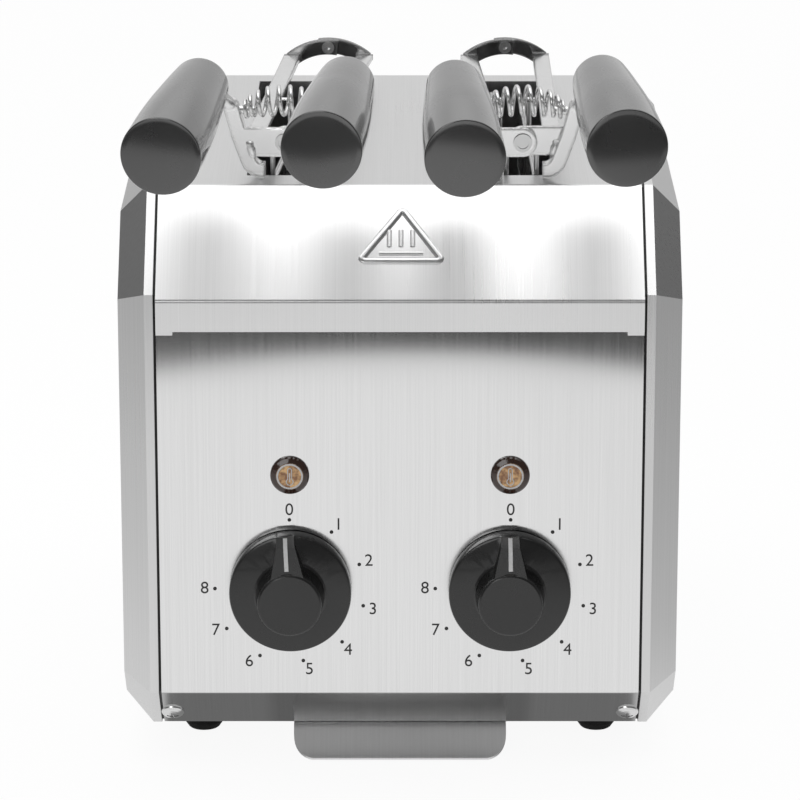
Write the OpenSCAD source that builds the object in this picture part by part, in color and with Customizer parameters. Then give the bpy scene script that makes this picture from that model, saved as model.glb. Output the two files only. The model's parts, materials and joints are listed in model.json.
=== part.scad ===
// Two-slot countertop toaster with lift-out spring tongs, all sizes in millimetres.
// X runs to the right, Y to the back and Z up. Modules are drawn from the front panel's face,
// and placed() moves the origin to the middle of the footprint.

/* [Body] */
// Width of the front panel and of the hood
panel_width = 191; // [180:1:206]
// Front panel to rear panel
body_depth = 270; // [262:1:284]
// Table to the top plate
top_height = 231.5; // [224:0.5:244]
// Table to the underside
underside = 11; // [10.5:0.5:13]
// Run of the chamfer along the bottom edges
chamfer = 20; // [16:1:22]
// Run of the sloping hood, front and rear
slope = 35.5; // [32:0.5:38]
// Sheet thickness
sheet = 1; // [0.8:0.1:1.2]
// Outer radius of a fold in the sheet
fold = 2.2; // [1.8:0.1:2.6]
// How far the hood's lip stands in front of the panel
lip_proud = 2; // [1.8:0.2:4]
// Height of the hood's upright lip
lip_height = 12.4; // [10:0.2:14]

/* [Side covers] */
// Gap between the panel and a side cover
cover_gap = 1; // [0.6:0.1:1.4]
// Flat band of the cover that lies flush with the panel
cover_band = 3.5; // [3:0.5:5]
// How far the bevel stands out sideways
cover_bevel = 11; // [9:0.5:13]
// How far the bevel draws in along the profile
cover_inset = 12; // [10:0.5:14]
// Hidden flange that carries the panel and the hood
cover_flange = 10; // [9.5:0.5:11]

/* [Slots and heating] */
// Slot centre to the middle of the toaster
slot_x = 42; // [41.5:0.5:43]
// Slot width
slot_width = 38; // [37.5:0.5:39]
// Front panel to the front edge of the slots
slot_front = 51; // [50:0.5:52]
// Rear edge of the slots to the rear panel
slot_rear = 48; // [46:1:52]
// Depth of the turned-down slot edge
slot_collar = 7; // [5:0.5:9]
// Diameter of a heating element's sheath
element_diameter = 6.5; // [6:0.5:8]
// Height of an element's lowest leg
element_low = 104; // [100:1:110]
// Distance between the legs of an element
element_step = 30; // [26:1:32]
// Wires in one guard
guard_wires = 8; // [6:1:10]
// Guard wire diameter
guard_wire = 1.8; // [1.4:0.1:2]

/* [Controls] */
// Knob and lamp centres to the middle of the toaster
control_x = 43.5; // [40:0.5:47]
// Knob axis above the table
knob_height = 75.3; // [70:0.1:82]
// Knob skirt diameter
knob_diameter = 48.4; // [44:0.2:50]
// Knob cap diameter
cap_diameter = 25; // [23:0.5:28]
// Knob reach in front of the panel
knob_reach = 22; // [18:0.5:24]
// Left knob's turn from its first mark, in degrees
left_knob_turn = -4.5; // [-8:0.5:0]
// Lamp centre above the table
lamp_height = 122.5; // [118:0.5:130]
// Lamp lens diameter
lamp_diameter = 15.4; // [14:0.2:17]

/* [Tray and feet] */
// Width of the crumb tray
tray_width = 136; // [128:2:138]
// Width of the finger lip
lip_width = 86; // [76:1:96]
// Panel face to the front edge of the lip
lip_setback = 1.5; // [0:0.5:4]
// Width of a lip corner's rounding
corner_width = 10; // [6:0.5:12]
// Length of a lip corner's rounding
corner_length = 16; // [8:0.5:17]
// Foot diameter
foot_diameter = 17; // [15:0.5:18]
// Foot centres to the middle of the toaster
foot_x = 80.5; // [80:0.5:82]
// Foot centres to the panel
foot_setback = 45; // [44:0.5:48]

/* [Tongs] */
// Left tong's pivot from the middle of the toaster
left_tong_x = -45.6; // [-46:0.1:-45]
// Left tong's turn in its slot, in degrees
left_tong_yaw = 4.7; // [4:0.1:5]
// Right tong's pivot from the middle of the toaster
right_tong_x = 48.6; // [47:0.1:49]
// Right tong's turn in its slot, in degrees
right_tong_yaw = -1; // [-2:0.1:0]
// Front panel to the tongs' front pivots
pivot_setback = 46.5; // [46:0.5:47.5]
// Pivot axis above the top plate
pivot_height = 15; // [14.5:0.5:16]
// Rear pivots behind the rear edge of the slots
pivot_overrun = 3.5; // [3:0.5:5]
// Arm bar width
arm_width = 6; // [5.5:0.5:6.5]
// Arm bar thickness
arm_thick = 5; // [4.5:0.5:5.5]
// Lug plate height
lug_height = 11.6; // [10:0.2:13]
// Rail width
rail_width = 7; // [6:0.5:8]
// Radius of the rear arch
arch_radius = 25; // [23:0.5:28]
// Height of the rear arch strip
arch_height = 6.6; // [6.4:0.2:8]
// Cage plane from the tong's middle
cage_x = 6; // [5.8:0.1:6.4]
// Depth of a cage below the pivot
cage_depth = 158; // [146:2:160]
// Upright wires in one cage
cage_wires = 8; // [6:1:10]
// Cage wire diameter
cage_wire = 2; // [1.6:0.2:2.2]

/* [Handles] */
// Handle length
handle_length = 83; // [78:1:88]
// Handle diameter at its near end
handle_near = 30.4; // [29:0.2:32]
// Handle diameter at its far end
handle_far = 22.4; // [21:0.2:24]
// Handle axis from the tong's middle, at its far end
handle_x = 28.3; // [27:0.1:30]
// Handle axis above the pivot, at its far end
handle_rise = 32.2; // [30:0.1:34]
// Pivot to the handle's far end
handle_gap = 38.5; // [36:0.5:42]
// Upward pitch towards the back, in degrees
handle_pitch = 5.6; // [5:0.1:7]
// Pitch by which the left handle exceeds the right one, in degrees
pitch_stagger = 1.5; // [0:0.1:2]
// Height by which the right handle stands above the left one
handle_stagger = 1.6; // [0:0.2:4]
// Outer handle's outward splay towards the front, in degrees
splay_outer = 3.5; // [2:0.1:5]
// Inner handle's outward splay towards the front, in degrees
splay_inner = -1.2; // [-2:0.1:0]
// Diameter of the rod that carries a handle
rod_diameter = 5; // [4.5:0.1:5.5]
// Depth of the rod in its handle
rod_depth = 36; // [30:1:44]

/* [Springs] */
// Coils in one spring
spring_coils = 8; // [7:1:11]
// Spring wire diameter
spring_wire = 1.7; // [1.4:0.1:1.8]
// Spring diameter at its middle, to the wire's centre
spring_middle = 11.4; // [10:0.2:12]
// Spring diameter at its ends, to the wire's centre
spring_end = 6.2; // [6:0.2:7]
// Spring length between the arms
spring_length = 31; // [29:0.5:31]
// Spring axis above the pivot, at the ends
spring_rise = 12.5; // [11.5:0.5:13]
// Height by which the spring's middle arches above its ends
spring_arch = 4; // [2:0.5:5]

/* [Output] */
// Sub-part to draw, or all of them

/* [Hidden] */
$fn = 48;

// Body
half_panel = panel_width / 2;
lip_top = top_height - slope - lip_proud;
lip_bottom = lip_top - lip_height;
panel_top = lip_bottom + 6;
panel_flange = 8;
flange_x = half_panel + cover_gap - cover_flange;
band_in = half_panel + cover_gap;
band_out = band_in + cover_band;
outer_x = band_out + cover_bevel;
// The eight-sided profile of the body, front bottom corner first, as [Y, Z]
profile = [
  [chamfer, underside], [body_depth - chamfer, underside],
  [body_depth, underside + chamfer], [body_depth, top_height - slope],
  [body_depth - slope, top_height], [slope, top_height],
  [0, top_height - slope], [0, underside + chamfer]
];
eps = 0.05;

// Base, chamber and controls
slot_length = body_depth - slot_front - slot_rear;
pan_low = underside + sheet;
pan_high = pan_low + 1.2;
wall_top = top_height - 3.5;
chamber_front = slot_front - 6;
chamber_rear = slot_front + slot_length + 4;
chamber_half = flange_x;
guard_outer_x = 73;
guard_inner_x = 11.5;
guard_low = 84;
guard_high = top_height - 5.5;
element_outer_x = 79;
element_front = chamber_front - 9;
element_r = element_diameter / 2;
bushing_r = element_r + 3.5;
bushing_collar = 5;
screw_x = half_panel - 3.8;
screw_run = 0.63 * chamfer;
regulator_size = 38;
regulator_deep = 29;
regulator_screw = 14;
shaft_depth = 19.5;
running = 0.05;
shaft_r = 3;
gland_x = 60;
gland_z = 46;
gland_r = 8;
gland_bore = 4;
gland_reach = 17;
terminal_pitch = 13;
terminal_deep = 16;
terminal_high = 18;
lens_bore = 5.2;
lamp_barrel = 6.4;

// Tray and feet
foot_taper = 2.4;
foot_rim = 3.4;
tray_floor = 4.9;
tray_sheet = 0.8;
tray_wall = 10.5;
tray_end_gap = 1.5;
tray_front = foot_setback + foot_diameter / 2 + tray_end_gap;
tray_rear = body_depth - tray_front - 2;
runner_x = tray_width / 2 + 1.2;
runner_sheet = 1;
runner_low = tray_floor - 0.3 - runner_sheet;
opening_x = tray_width / 2 - 10;

// Tongs
pivot_z = top_height + pivot_height;
pivot_span = slot_front + slot_length + pivot_overrun - pivot_setback;
hole_r = 2.9;
rear_hole_r = 2.1;
plate_gap = 0.35;
strip_half = arm_thick / 2;
rail_thick = 2.4;
rail_first = [11.6, 2.2];
rail_last = [15.7, -4.6];
arch_thick = 2;
arch_drop = 40;
arch_lap = 9.5;
arm_low = -pivot_height + 0.3 + arm_width / 2;
arm_foot = 13;
arm_end = 8;
arm_knee = [18.2, 2.5];
arm_top = [21.5, 14.5];
arm_bend = 6;
lug_reach = 18;
peg_r = 1.7;
peg_root = 20;
handle_round = 0.8;
rod_r = rod_diameter / 2;
knuckle_r = arm_width / 2 + 0.3;
cage_top = -pivot_height - 4;
cage_bar = 2.6;

// Geometry helpers

function unit(v) = v / norm(v);
function left_of(v) = [-v.y, v.x];
// Mitred offset of a point between two unit directions, to their left
function mitre(p, a, b, d) = p + d * (left_of(a) + left_of(b)) / (1 + a * b);
// An open line of points, offset to its left
function beside(pts, d) = [
  for (i = [0:len(pts) - 1])
    let (a = unit(pts[max(i, 1)] - pts[max(i, 1) - 1]),
         j = min(i, len(pts) - 2),
         b = unit(pts[j + 1] - pts[j]))
    mitre(pts[i], a, b, d)
];
function reversed(v) = [for (i = [len(v) - 1:-1:0]) v[i]];
// An open line with its inner corners rounded to a radius
function rounded(pts, r, steps = 5) = [
  for (i = [0:len(pts) - 1])
    if (i == 0 || i == len(pts) - 1) pts[i]
    else let (
      a = unit(pts[i] - pts[i - 1]),
      b = unit(pts[i + 1] - pts[i]),
      turn = atan2(a.x * b.y - a.y * b.x, a * b),
      side = sign(turn) * r,
      start = pts[i] - a * r * tan(abs(turn) / 2),
      centre = start + side * left_of(a)
    )
    for (k = [0:steps])
      let (t = turn * k / steps)
      centre - side * (cos(t) * left_of(a) - sin(t) * a)
];
// A strip between an open line and its offset
function strip(pts, d) = concat(pts, reversed(beside(pts, d)));
// A strip centred on an open line
function band(pts, w) = concat(beside(pts, -w / 2), reversed(beside(pts, w / 2)));
// A closed anticlockwise polygon, drawn in
function inset(pts, d) = [
  for (i = [0:len(pts) - 1])
    let (n = len(pts), p = pts[i], q = pts[(i + 1) % n], o = pts[(i + n - 1) % n])
    mitre(p, unit(p - o), unit(q - p), d)
];

module along_x(x0, x1) {
  translate([x0, 0, 0]) rotate([90, 0, 90]) linear_extrude(x1 - x0) children();
}

module along_y(y0, y1) {
  translate([0, y1, 0]) rotate([90, 0, 0]) linear_extrude(y1 - y0) children();
}

module box(low, high) {
  translate(low) cube(high - low);
}

module rod_x(x0, x1, y, z, r) {
  translate([x0, y, z]) rotate([0, 90, 0]) cylinder(r = r, h = x1 - x0);
}

module rod_y(y0, y1, x, z, r) {
  translate([x, y1, z]) rotate([90, 0, 0]) cylinder(r = r, h = y1 - y0);
}

module rod_z(z0, z1, x, y, r) {
  translate([x, y, z0]) cylinder(r = r, h = z1 - z0);
}

// A solid between two polygons of [Y, Z] points at two places along X
module loft_x(x0, pts0, x1, pts1) {
  n = len(pts0);
  polyhedron(
    points = concat(
      [for (p = pts0) [x0, p.x, p.y]],
      [for (p = pts1) [x1, p.x, p.y]]
    ),
    faces = concat(
      [[for (i = [0:n - 1]) i]],
      [[for (i = [n - 1:-1:0]) n + i]],
      [for (i = [0:n - 1]) [i, n + i, n + (i + 1) % n, (i + 1) % n]]
    )
  );
}

// A flat bar from one centre to another, both [x, z], between two places along Y
module bar_y(y0, c0, y1, c1, w, t) {
  corners = [[-w / 2, -t / 2], [w / 2, -t / 2], [w / 2, t / 2], [-w / 2, t / 2]];
  polyhedron(
    points = concat(
      [for (c = corners) [c0.x + c.x, y0, c0.y + c.y]],
      [for (c = corners) [c1.x + c.x, y1, c1.y + c.y]]
    ),
    faces = [
      [3, 2, 1, 0], [4, 5, 6, 7],
      [0, 1, 5, 4], [1, 2, 6, 5], [2, 3, 7, 6], [3, 0, 4, 7]
    ]
  );
}

module both_sides() {
  children();
  mirror([1, 0, 0]) children();
}

module front_and_rear() {
  children();
  translate([0, body_depth, 0]) mirror([0, 1, 0]) children();
}

// Puts a solid drawn along -Z from its seat onto the front chamfer, at the screw's place
module on_chamfer() {
  translate([screw_x, screw_run, underside + chamfer - screw_run]) rotate([-45, 0, 0]) children();
}

module steel() { color([0.80, 0.81, 0.82]) children(); }
module black() { color([0.07, 0.07, 0.07]) children(); }

// Housing

module slot_at(x, grow, low, high) {
  box([x - slot_width / 2 - grow, slot_front - grow, low],
      [x + slot_width / 2 + grow, slot_front + slot_length + grow, high]);
}

module hood() {
  line = [
    [-lip_proud, lip_bottom], [-lip_proud, lip_top],
    [slope, top_height], [body_depth - slope, top_height],
    [body_depth + lip_proud, lip_top], [body_depth + lip_proud, lip_bottom]
  ];
  steel() difference() {
    union() {
      along_x(-half_panel, half_panel) polygon(strip(rounded(line, fold), -sheet));
      front_and_rear() {
        box([-half_panel, -lip_proud, lip_bottom], [half_panel, -0.4, lip_bottom + sheet]);
        both_sides() box([half_panel - 6.5, -1.4, lip_bottom - 1.6], [half_panel, -0.4, lip_bottom + sheet]);
      }
      for (x = [-slot_x, slot_x])
        slot_at(x, sheet, top_height - slot_collar, top_height);
    }
    for (x = [-slot_x, slot_x])
      slot_at(x, 0, top_height - slot_collar - 1, top_height + 1);
  }
}

module panel_sheet() {
  line = [
    [0, panel_top], [0, underside + chamfer],
    [chamfer, underside], [chamfer + panel_flange, underside]
  ];
  difference() {
    along_x(-half_panel, half_panel) polygon(strip(rounded(line, fold), sheet));
    both_sides() on_chamfer() translate([0, 0, -5]) cylinder(r = 2.1, h = 10);
  }
}

module front_panel() {
  steel() difference() {
    panel_sheet();
    both_sides() {
      rod_y(-1, 2, control_x, knob_height, 5);
      rod_y(-1, 2, control_x, lamp_height, lamp_barrel + 0.1);
      for (s = [-1, 1]) rod_y(-1, 2, control_x + s * regulator_screw, knob_height, 2.1);
    }
  }
}

module rear_panel() {
  vent_count = 6;
  vent_pitch = 12;
  steel() difference() {
    translate([0, body_depth, 0]) mirror([0, 1, 0]) panel_sheet();
    rod_y(body_depth - 2, body_depth + 1, gland_x, gland_z, gland_r + 0.1);
    for (i = [0:vent_count - 1])
      translate([(i - (vent_count - 1) / 2) * vent_pitch, 0, 0])
        box([-2, body_depth - 2, 110], [2, body_depth + 1, 150]);
  }
}

module side_cover() {
  seat = sheet + 0.12;
  inner = sheet + 1.1;
  difference() {
    union() {
      loft_x(flange_x, inset(profile, seat), band_in + 1, inset(profile, seat));
      loft_x(band_in, profile, band_out, profile);
      loft_x(band_out - eps, profile, outer_x, inset(profile, cover_inset));
    }
    loft_x(flange_x - 1, inset(profile, inner), band_out, inset(profile, inner));
    loft_x(band_out - eps, inset(profile, inner), outer_x - 1.2, inset(profile, cover_inset + 1));
    front_and_rear() on_chamfer() translate([0, 0, -6]) cylinder(r = 2.1, h = 12);
  }
}

module right_cover() { steel() side_cover(); }
module left_cover() { steel() mirror([1, 0, 0]) side_cover(); }

module base_pan() {
  steel() difference() {
    box([-flange_x, chamfer + 2, pan_low], [flange_x, body_depth - chamfer - 2, pan_high]);
    box([-opening_x, tray_front + 3.5, pan_low - 1], [opening_x, tray_rear - 3.5, pan_high + 1]);
    foot_places() rod_z(pan_low - 1, pan_high + 1, 0, 0, 2.1);
  }
}

module foot_places() {
  front_and_rear() both_sides() translate([foot_x, foot_setback, 0]) children();
}

module rubber_feet() {
  black() foot_places() difference() {
    union() {
      cylinder(r1 = foot_diameter / 2 - foot_taper, r2 = foot_diameter / 2, h = foot_rim);
      rod_z(foot_rim, pan_low, 0, 0, foot_diameter / 2);
    }
    rod_z(-1, 4, 0, 0, 4.2);
    rod_z(3, pan_low + 1, 0, 0, 2.1);
  }
}

module foot_screws() {
  steel() foot_places() {
    rod_z(1.6, 4, 0, 0, 3.7);
    rod_z(3.9, pan_high + 5, 0, 0, 2);
    translate([0, 0, pan_high]) cylinder(r = 4, h = 3.2, $fn = 6);
  }
}

module dome_screw() {
  head_r = 4.7;
  head_h = 2.4;
  steps = 6;
  difference() {
    union() {
      rotate([180, 0, 0]) rotate_extrude() polygon(concat(
        [[0, 0]],
        [for (i = [0:steps]) [head_r * cos(90 * i / steps), head_h * sin(90 * i / steps)]]
      ));
      translate([0, 0, -eps]) cylinder(r = 2, h = 8);
    }
    for (a = [0, 90]) rotate([0, 0, a]) translate([-2.4, -0.45, -4]) cube([4.8, 0.9, 2.8]);
  }
}

module panel_screws() {
  steel() front_and_rear() both_sides() on_chamfer() dome_screw();
}

// Heating chamber

module bulkhead(y0, holes) {
  difference() {
    box([-chamber_half, y0, pan_high], [chamber_half, y0 + sheet, wall_top]);
    if (holes) element_ends() rod_y(y0 - 1, y0 + sheet + 1, 0, 0, bushing_r - 2);
    foot_places() rod_z(pan_high - 1, pan_high + 7, 0, 0, 5.2);
  }
}

module element_ends() {
  for (x = [-element_outer_x, 0, element_outer_x])
    for (z = [element_low, element_low + 3 * element_step])
      translate([x, 0, z]) children();
}

module front_bulkhead() { steel() bulkhead(chamber_front - sheet, true); }
module rear_bulkhead() { steel() bulkhead(chamber_rear, false); }

module shield() {
  box([chamber_half - sheet, chamber_front, pan_high], [chamber_half, chamber_rear, wall_top]);
}

module right_shield() { steel() shield(); }
module left_shield() { steel() mirror([1, 0, 0]) shield(); }

// Half a ring in the Y-Z plane that joins two legs, opening to the front or to the back
module element_bend(y, z, turn) {
  translate([0, y, z]) rotate([90, 0, 90]) rotate([0, 0, turn])
    rotate_extrude(angle = 180) translate([element_step / 2, 0]) circle(r = element_r);
}

module element(x) {
  rear = chamber_rear - element_step / 2 - 8;
  front = chamber_front + element_step / 2 + 8;
  color([0.33, 0.31, 0.30]) translate([x, 0, element_low]) {
    rod_y(element_front, rear, 0, 0, element_r);
    element_bend(rear, element_step / 2, -90);
    rod_y(front, rear, 0, element_step, element_r);
    element_bend(front, 1.5 * element_step, 90);
    rod_y(front, rear, 0, 2 * element_step, element_r);
    element_bend(rear, 2.5 * element_step, -90);
    rod_y(element_front, rear, 0, 3 * element_step, element_r);
  }
}

module left_element() { element(-element_outer_x); }
module centre_element() { element(0); }
module right_element() { element(element_outer_x); }

module element_bushings() {
  color([0.93, 0.92, 0.88]) element_ends() difference() {
    union() {
      rod_y(chamber_front - sheet - bushing_collar, chamber_front - sheet, 0, 0, bushing_r);
      rod_y(chamber_front - sheet - eps, chamber_front + 3, 0, 0, bushing_r - 2);
    }
    rod_y(chamber_front - 10, chamber_front + 10, 0, 0, element_r);
  }
}

module guard(x) {
  bar = 5;
  pitch = (slot_length - 20) / (guard_wires - 1);
  steel() translate([x, 0, 0]) {
    for (i = [0:guard_wires - 1])
      rod_z(guard_low, guard_high, 0, slot_front + 10 + i * pitch, guard_wire / 2);
    for (z = [guard_low + bar, guard_high - bar])
      box([-guard_wire / 3, chamber_front, z - bar / 2], [guard_wire / 3, chamber_rear, z + bar / 2]);
  }
}

module left_outer_guard() { guard(-guard_outer_x); }
module left_inner_guard() { guard(-guard_inner_x); }
module right_inner_guard() { guard(guard_inner_x); }
module right_outer_guard() { guard(guard_outer_x); }

// Crumb tray

module tray_runners() {
  low = runner_low;
  steel() both_sides() {
    box([runner_x, tray_front, low], [runner_x + runner_sheet, tray_rear + 2, pan_low]);
    box([runner_x - 7, tray_front, low], [runner_x + eps, tray_rear + 2, low + runner_sheet]);
    box([opening_x + 1, tray_front, pan_low - runner_sheet], [runner_x + eps, tray_rear + 2, pan_low]);
  }
}

module crumb_tray() {
  half = tray_width / 2;
  high = tray_floor + tray_sheet;
  start = tray_front + 1;
  bend = chamfer + 1.5;
  first = 11;
  last = 33;
  arc = (bend - lip_setback) / (sin(last) - sin(first));
  curl = [for (t = [last:-2:first])
    [bend - arc * (sin(last) - sin(t)), tray_wall - arc * (cos(t) - cos(last))]];
  side = lip_width / 2;
  corner = [for (t = [0:10:90])
    [side - corner_width * (1 - cos(t)), lip_setback - 0.5 + corner_length * (1 - sin(t))]];
  steel() {
    box([-half, start, tray_floor], [half, tray_rear, high]);
    both_sides() box([half - tray_sheet, start, tray_floor], [half, tray_rear, tray_wall]);
    box([-half, tray_rear - tray_sheet, tray_floor], [half, tray_rear, tray_wall]);
    box([-half, start, tray_floor], [half, start + tray_sheet, tray_wall]);
    intersection() {
      along_x(-side, side)
        polygon(strip(concat([[start + 0.4, tray_wall]], curl), tray_sheet));
      linear_extrude(20) polygon(concat(
        [[-side, start + 1], [side, start + 1]], corner, [for (p = reversed(corner)) [-p.x, p.y]]
      ));
    }
  }
}

// Controls

module regulator(x) {
  half = regulator_size / 2;
  color([0.85, 0.82, 0.72]) difference() {
    box([x - half, sheet, knob_height - half], [x + half, sheet + regulator_deep, knob_height + half]);
    rod_y(0, shaft_depth + 0.5, x, knob_height, shaft_r + running);
    for (s = [-1, 1]) rod_y(0, 9, x + s * regulator_screw, knob_height, 2.05);
  }
}

module left_regulator() { regulator(-control_x); }
module right_regulator() { regulator(control_x); }

module regulator_screws() {
  steel() both_sides() for (s = [-1, 1]) {
    rod_y(-1.8, 0, control_x + s * regulator_screw, knob_height, 3.4);
    rod_y(-eps, 8, control_x + s * regulator_screw, knob_height, 2);
  }
}

module dial_shaft(x) {
  steel() rod_y(-knob_reach + 4, shaft_depth, x, knob_height, shaft_r);
}

module left_dial_shaft() { dial_shaft(-control_x); }
module right_dial_shaft() { dial_shaft(control_x); }

// Solid of revolution about the knob's axis, from [radius, distance in front of the panel]
module turned(x, z, pts) {
  translate([x, 0, z]) rotate([90, 0, 0]) rotate_extrude() polygon(pts);
}

module knob(x, turn) {
  skirt = knob_diameter / 2;
  cap = cap_diameter / 2;
  back = 0.8;
  rim = 8.2;
  ridge = knob_reach - 0.6;
  black() difference() {
    union() {
      turned(x, knob_height, [
        [0, back], [skirt, back], [skirt, rim - 1], [skirt - 0.3, rim - 0.3], [skirt - 1, rim],
        [cap + 2, rim + 1.1], [cap + 1.2, rim + 1.7], [cap + 0.3, knob_reach - 1.2],
        [cap, knob_reach - 0.4], [cap - 0.6, knob_reach], [0, knob_reach]
      ]);
      translate([x, 0, knob_height]) rotate([0, turn, 0]) intersection() {
        along_x(-8, 8) polygon([
          [-rim + 3, cap - 4], [-ridge, cap - 4], [-ridge, cap - 0.6],
          [-rim - 4.8, skirt - 3.2], [-rim + 0.2, skirt - 0.2], [-rim + 3, skirt - 0.2]
        ]);
        along_y(-knob_reach, 0) polygon([
          [-7.2, cap - 4], [7.2, cap - 4], [3.7, skirt - 3.2],
          [3.5, skirt], [-3.5, skirt], [-3.7, skirt - 3.2]
        ]);
      }
    }
    turned(x, knob_height, [[0, back - 1], [skirt - 3, back - 1], [skirt - 3, rim - 3], [0, rim - 3]]);
    rod_y(-knob_reach + 4, 1, x, knob_height, shaft_r + running);
  }
}

module left_knob() { knob(-control_x, left_knob_turn); }
module right_knob() { knob(control_x, 0); }

module lamp_lens(x) {
  rim = lamp_diameter / 2;
  color([0.75, 0.36, 0.10]) translate([x, 0, lamp_height]) rotate([90, 0, 0]) rotate_extrude() polygon([
    [0, 2.4], [rim - 2.2, 2.2], [rim - 0.6, 1.5], [rim, 0.8], [rim, 0],
    [lamp_barrel, 0], [lamp_barrel, -10], [lens_bore, -10], [lens_bore, -1], [0, -1]
  ]);
}

module left_lamp_lens() { lamp_lens(-control_x); }
module right_lamp_lens() { lamp_lens(control_x); }

module lamp_holder(x) {
  color([0.92, 0.92, 0.90]) translate([x, 0, lamp_height]) {
    rod_y(2, 10 + eps, 0, 0, lens_bore - 0.1);
    rod_y(10, 24, 0, 0, lamp_barrel);
    for (s = [-1, 1]) box([s * 3 - 0.4, 24 - eps, -2.4], [s * 3 + 0.4, 31, 2.4]);
  }
}

module left_lamp_holder() { lamp_holder(-control_x); }
module right_lamp_holder() { lamp_holder(control_x); }

module cord_gland() {
  flange = 5;
  black() difference() {
    union() {
      rod_y(body_depth - 12, body_depth + eps, gland_x, gland_z, gland_r);
      rod_y(body_depth, body_depth + flange, gland_x, gland_z, gland_r + 3.5);
      rod_y(body_depth + flange - eps, body_depth + gland_reach, gland_x, gland_z, gland_r + 1.5);
    }
    rod_y(body_depth - 13, body_depth + gland_reach + 1, gland_x, gland_z, gland_bore);
  }
}

module gland_nut() {
  black() difference() {
    rod_y(body_depth - sheet - 5, body_depth - sheet, gland_x, gland_z, gland_r + 3.5);
    rod_y(body_depth - sheet - 6, body_depth, gland_x, gland_z, gland_r + running);
  }
}

module terminal_block() {
  ways = 3;
  low = [-gland_x, chamber_rear + sheet + 3, pan_high];
  color([0.90, 0.89, 0.84]) difference() {
    box(low, low + [ways * terminal_pitch, terminal_deep, terminal_high]);
    for (i = [0:ways - 1])
      translate(low + [(i + 0.5) * terminal_pitch, terminal_deep / 2, terminal_high - 6])
        cylinder(r = 2.6, h = 10);
  }
}

// Tongs, drawn about their front pivot: half a is the left one, half b the right one

module tong_place(x, yaw) {
  translate([x, pivot_setback, pivot_z]) rotate([0, 0, -yaw]) children();
}

module left_tong() { tong_place(left_tong_x, left_tong_yaw) children(); }
module right_tong() { tong_place(right_tong_x, right_tong_yaw) children(); }

// Half b as drawn is turned into half a by the mirror
module half(side) {
  mirror([side < 0 ? 1 : 0, 0, 0]) children();
}

// Places of a handle in half b as drawn, as [x, y, z] from the front pivot
function far_end(side) = [handle_x, -handle_gap, handle_rise + side * handle_stagger / 2];
function pitch_of(side) = handle_pitch - side * pitch_stagger / 2;
function splay_of(outer) = outer ? splay_outer : splay_inner;
// The way from the handle's near end to its far end
function handle_way(side, outer) =
  let (p = pitch_of(side), a = splay_of(outer))
  [-sin(a) * cos(p), cos(a) * cos(p), sin(p)];

// How far a handle's near rim stands in front of the panel
function front_of(yaw, side, outer) =
  let (
    way = handle_way(side, outer),
    near = far_end(side) - handle_length * way,
    way_y = cos(yaw) * way.y - sin(yaw) * side * way.x,
    near_y = cos(yaw) * near.y - sin(yaw) * side * near.x
  )
  (handle_near / 2 - handle_round) * sqrt(1 - way_y * way_y) - near_y - pivot_setback;

front_reach = max(
  front_of(left_tong_yaw, -1, true), front_of(left_tong_yaw, 1, false),
  front_of(right_tong_yaw, -1, false), front_of(right_tong_yaw, 1, true), knob_reach
);
y_mid = (body_depth + gland_reach - front_reach) / 2;

module rod_between(a, b, r) {
  v = b - a;
  translate(a) rotate([0, acos(v.z / norm(v)), atan2(v.y, v.x)]) cylinder(r = r, h = norm(v));
}

// Flat arm, bent forward at its top into the rod that carries the handle
module arm(side, outer) {
  knuckle = far_end(side) + (rod_r + 1) * handle_way(side, outer);
  top = [arm_top.x, 0, arm_top.y];
  along_y(-strip_half, strip_half)
    polygon(band(rounded([[arm_end, arm_low], [arm_foot, arm_low], arm_knee, arm_top], arm_bend), arm_width));
  translate(top) sphere(r = knuckle_r);
  rod_between(top, knuckle, rod_r);
  translate(knuckle) sphere(r = rod_r + 0.2);
  rod_between(knuckle, far_end(side) - rod_depth * handle_way(side, outer), rod_r);
}

module frame_half(side, outer) {
  lug_y = side < 0 ? [-strip_half, -plate_gap] : [plate_gap, strip_half];
  arch_y = side < 0 ? [-plate_gap - arch_thick, -plate_gap] : [plate_gap, plate_gap + arch_thick];
  lug_r = lug_height / 2;
  steel() half(side) {
    arm(side, outer);
    difference() {
      union() {
        box([0, lug_y.x, -lug_r], [lug_reach, lug_y.y, lug_r]);
        rod_y(lug_y.x, lug_y.y, 0, 0, lug_r);
      }
      rod_y(-9, 9, 0, 0, hole_r);
    }
    bar_y(lug_y.y - 0.2, rail_first, pivot_span + arch_y.x + 0.2, rail_last, rail_width, rail_thick);
    rod_x(spring_length / 2 - 4, peg_root, 0, spring_rise, peg_r);
    difference() {
      translate([0, pivot_span + arch_y.y, -arch_radius]) rotate([90, 0, 0])
        rotate([0, 0, 90 - arch_drop]) rotate_extrude(angle = arch_drop + arch_lap)
          translate([arch_radius - arch_height / 2, 0]) square([arch_height, arch_thick]);
      rod_y(pivot_span - 9, pivot_span + 9, 0, 0, rear_hole_r);
    }
  }
}

// Middle of a rail at a place along it, as [x, z]
function rail_at(y, from, to) = rail_first + (y - from) / (to - from) * (rail_last - rail_first);

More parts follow.
